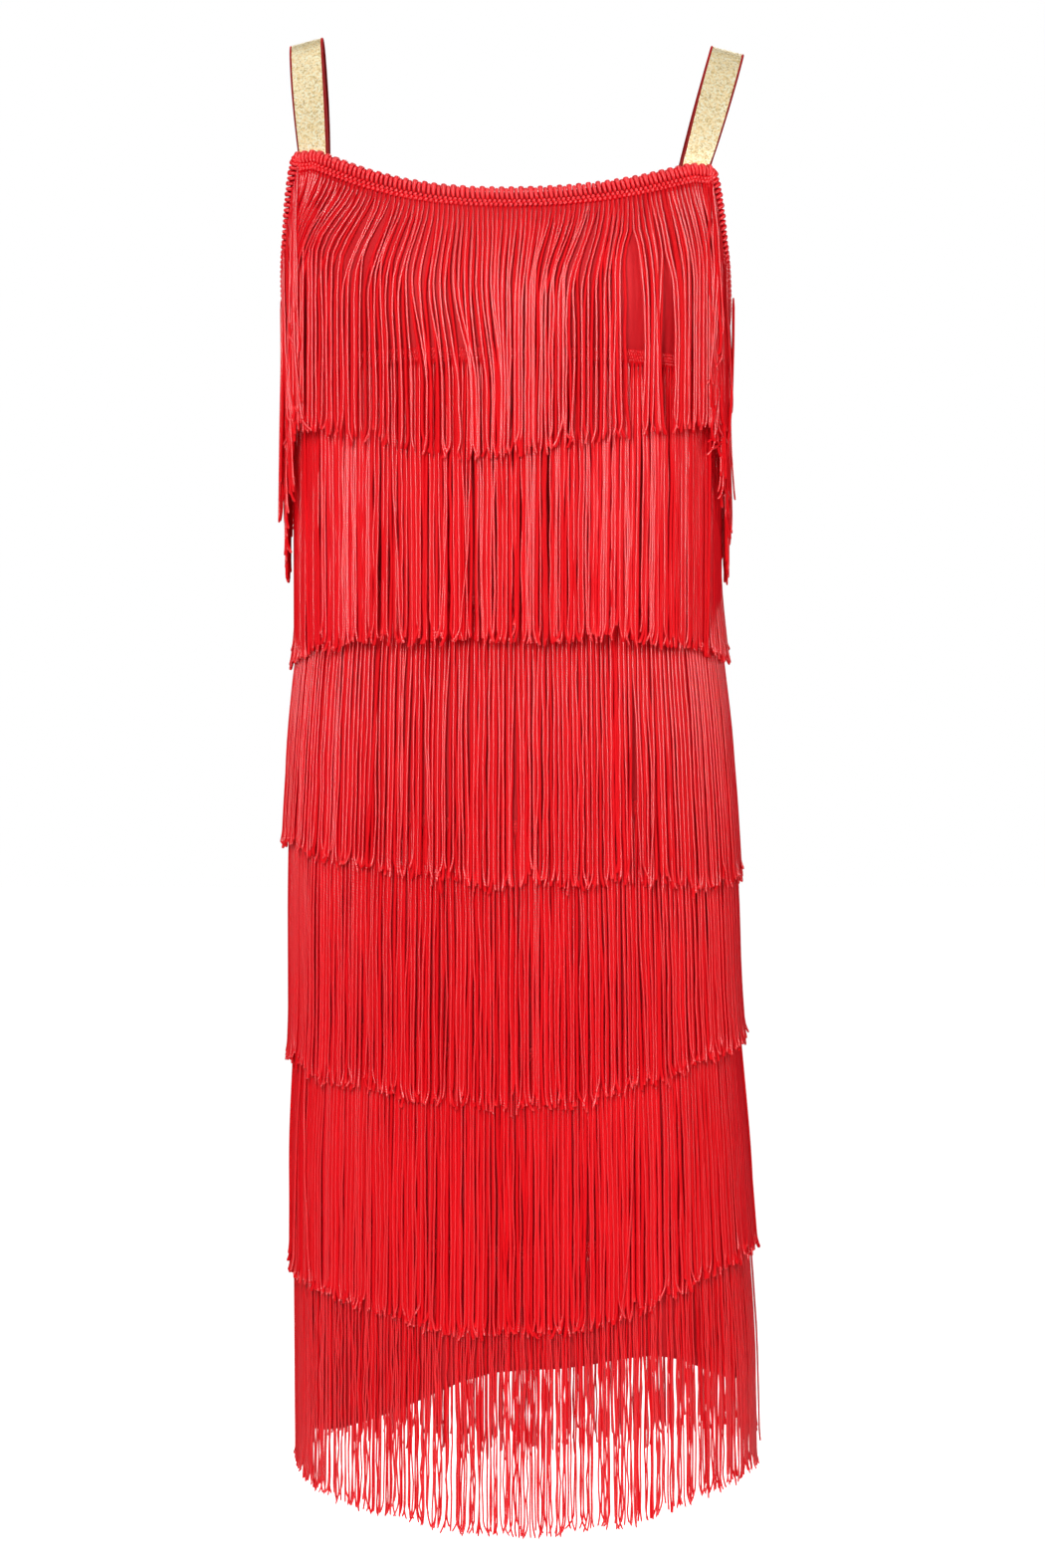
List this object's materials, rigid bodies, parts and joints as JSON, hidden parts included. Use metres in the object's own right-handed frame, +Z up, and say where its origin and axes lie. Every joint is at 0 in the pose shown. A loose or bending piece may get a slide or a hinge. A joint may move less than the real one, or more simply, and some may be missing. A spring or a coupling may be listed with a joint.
{
  "type": "flapper dress",
  "caption": "Sleeveless knee-length flapper dress with square neckline, elastic shoulder straps and overlapping tiers of long fringe, hollow as if worn.",
  "frame": {"origin": "midway between the two shoulders, on the surface under the straps where they cross the shoulders", "axes": "+Z up, the front of the dress faces -Y, +X towards the wearer's left"},
  "size_m": [0.311, 0.2275, 0.9506],
  "materials": {
    "cloth": "smooth red stretch jersey, dull",
    "fringe": "twisted red fringe yarn with a soft sheen",
    "strap": "gold glitter elastic with thin red edges and a red inner face"
  },
  "bodies": {
    "root": {"front_panel": "cloth", "back_panel": "cloth", "strap_left": "strap", "strap_right": "strap", "fringe_1_front": "fringe", "fringe_1_back": "fringe", "fringe_2_front": "fringe", "fringe_2_back": "fringe", "fringe_3_front": "fringe", "fringe_3_back": "fringe", "fringe_4_front": "fringe", "fringe_4_back": "fringe", "fringe_5_front": "fringe", "fringe_5_back": "fringe", "fringe_6_front": "fringe", "fringe_6_back": "fringe"}
  },
  "joints": []
}
